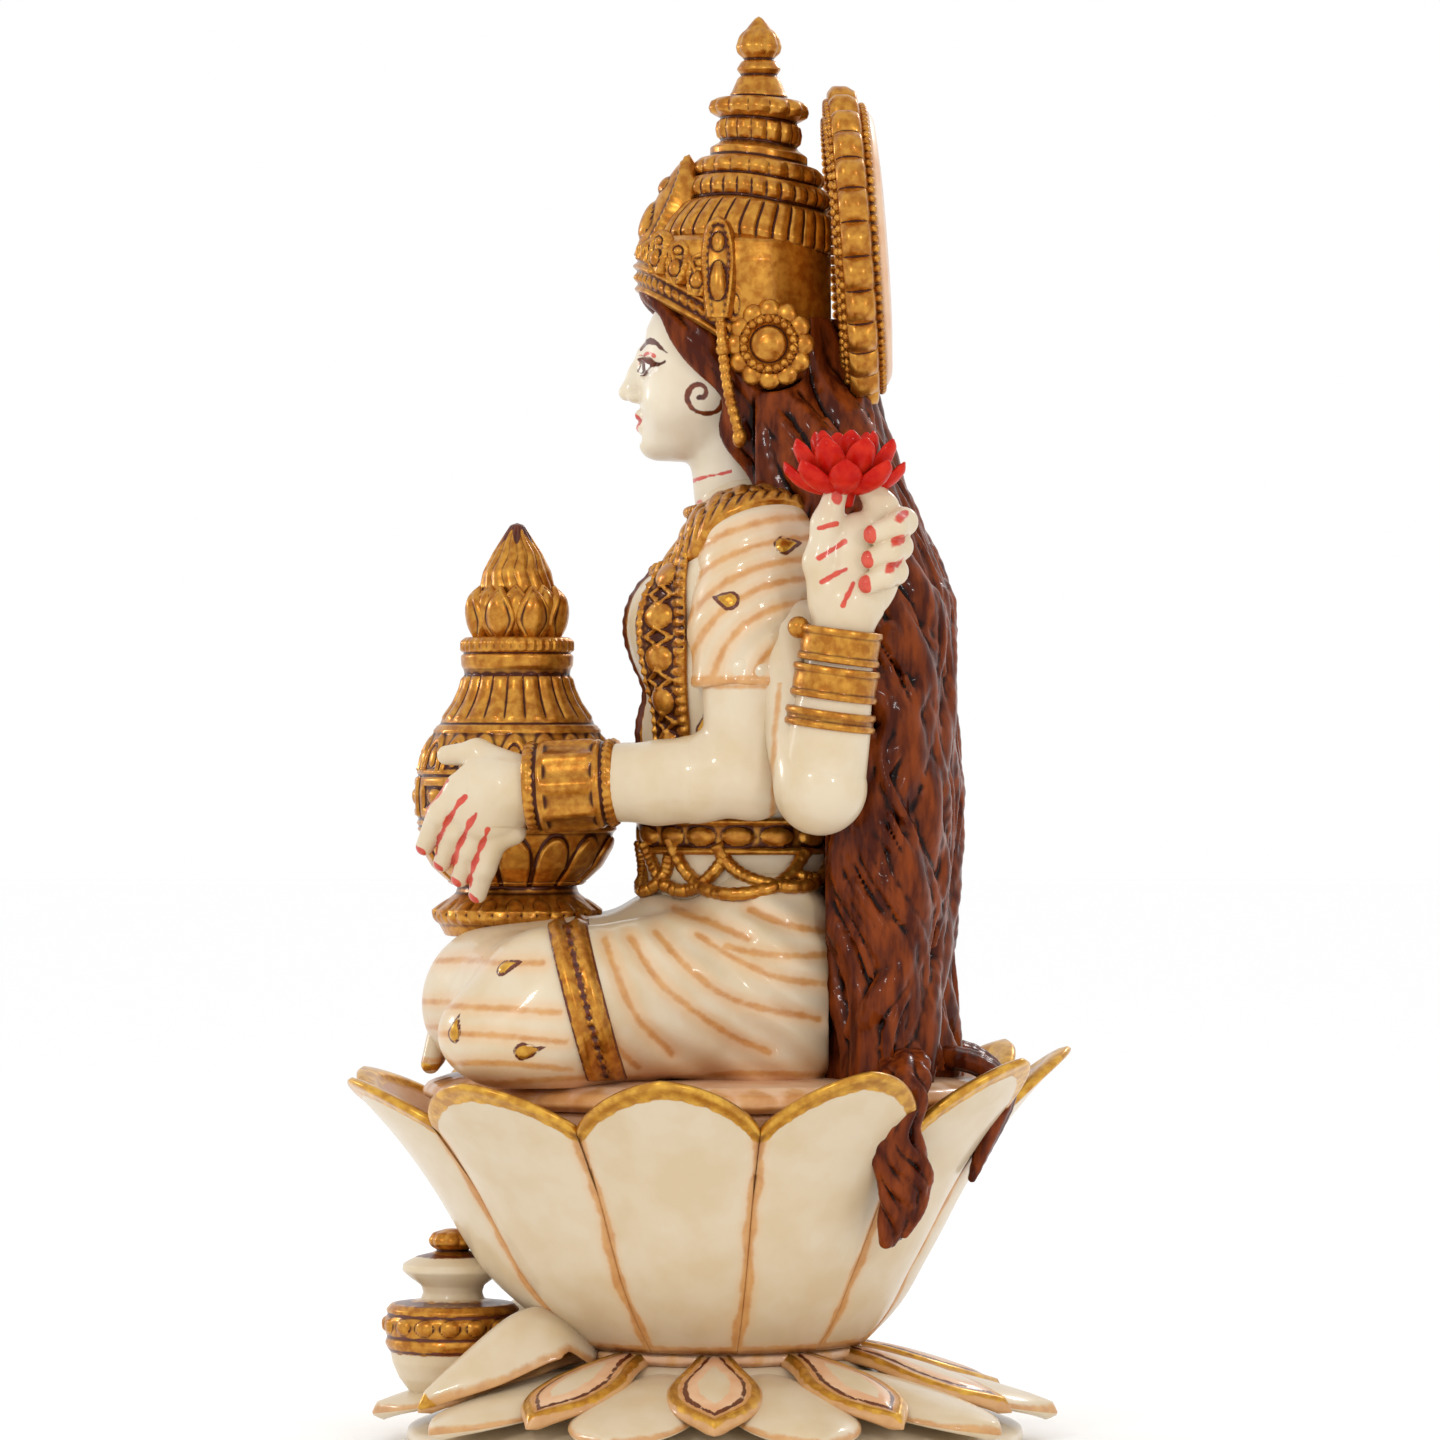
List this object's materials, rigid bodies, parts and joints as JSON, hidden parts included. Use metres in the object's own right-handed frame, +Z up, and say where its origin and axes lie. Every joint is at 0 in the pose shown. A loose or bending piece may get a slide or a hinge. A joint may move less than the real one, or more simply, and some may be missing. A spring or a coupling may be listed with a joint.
{
  "type": "hindu deity statue",
  "caption": "Seated four-armed goddess figurine on an open lotus pedestal, with a crown, a scalloped halo, raised lotus flowers and a lidded pot held on the lap.",
  "frame": {"origin": "centre of the base's flat underside", "axes": "+Z up, the figure faces -Y, the figure's left side is +X"},
  "size_m": [0.1318, 0.1308, 0.25],
  "materials": {
    "ivory_paint": "gloss",
    "shade_paint": "gloss",
    "gold_paint": "satin",
    "hair_paint": "gloss",
    "red_paint": "gloss"
  },
  "bodies": {
    "root": {"base_plinth": "ivory_paint", "base_petals_lower": "ivory_paint", "base_petals_upper": "shade_paint", "base_collar": "shade_paint", "front_sepals": "ivory_paint", "lotus_bowl": "ivory_paint", "seat_pod": "shade_paint", "lower_body": "ivory_paint", "saree_pleats": "shade_paint", "waist_girdle": "gold_paint", "torso": "ivory_paint", "chest_garland": "gold_paint", "neck_collar": "gold_paint", "head": "ivory_paint", "crown_band": "gold_paint", "crown_tiers": "gold_paint", "crown_crest": "gold_paint", "hair_back": "hair_paint", "halo_plate": "shade_paint", "halo_rim": "gold_paint", "kalash_body": "gold_paint", "kalash_collar": "gold_paint", "offering_pot": "gold_paint", "seat_petal_01": "ivory_paint", "seat_petal_02": "ivory_paint", "seat_petal_03": "ivory_paint", "seat_petal_04": "ivory_paint", "seat_petal_05": "ivory_paint", "seat_petal_06": "ivory_paint", "seat_petal_07": "ivory_paint", "seat_petal_08": "ivory_paint", "seat_petal_09": "ivory_paint", "seat_petal_10": "ivory_paint", "seat_petal_11": "ivory_paint", "saree_band_left": "gold_paint", "saree_band_right": "gold_paint", "shoulder_drape_left": "ivory_paint", "shoulder_drape_right": "ivory_paint", "front_upper_arm_left": "ivory_paint", "front_upper_arm_right": "ivory_paint", "front_forearm_left": "ivory_paint", "front_forearm_right": "ivory_paint", "wrist_cuff_left": "gold_paint", "wrist_cuff_right": "gold_paint", "front_hand_left": "ivory_paint", "front_hand_right": "ivory_paint", "raised_upper_arm_left": "ivory_paint", "raised_upper_arm_right": "ivory_paint", "raised_forearm_left": "ivory_paint", "raised_forearm_right": "ivory_paint", "bangles_left": "gold_paint", "bangles_right": "gold_paint", "raised_hand_left": "ivory_paint", "raised_hand_right": "ivory_paint", "lotus_flower_left": "red_paint", "lotus_flower_right": "red_paint", "ear_ornament_left": "gold_paint", "ear_ornament_right": "gold_paint", "hair_locks_left": "hair_paint", "hair_locks_right": "hair_paint"}
  },
  "joints": []
}
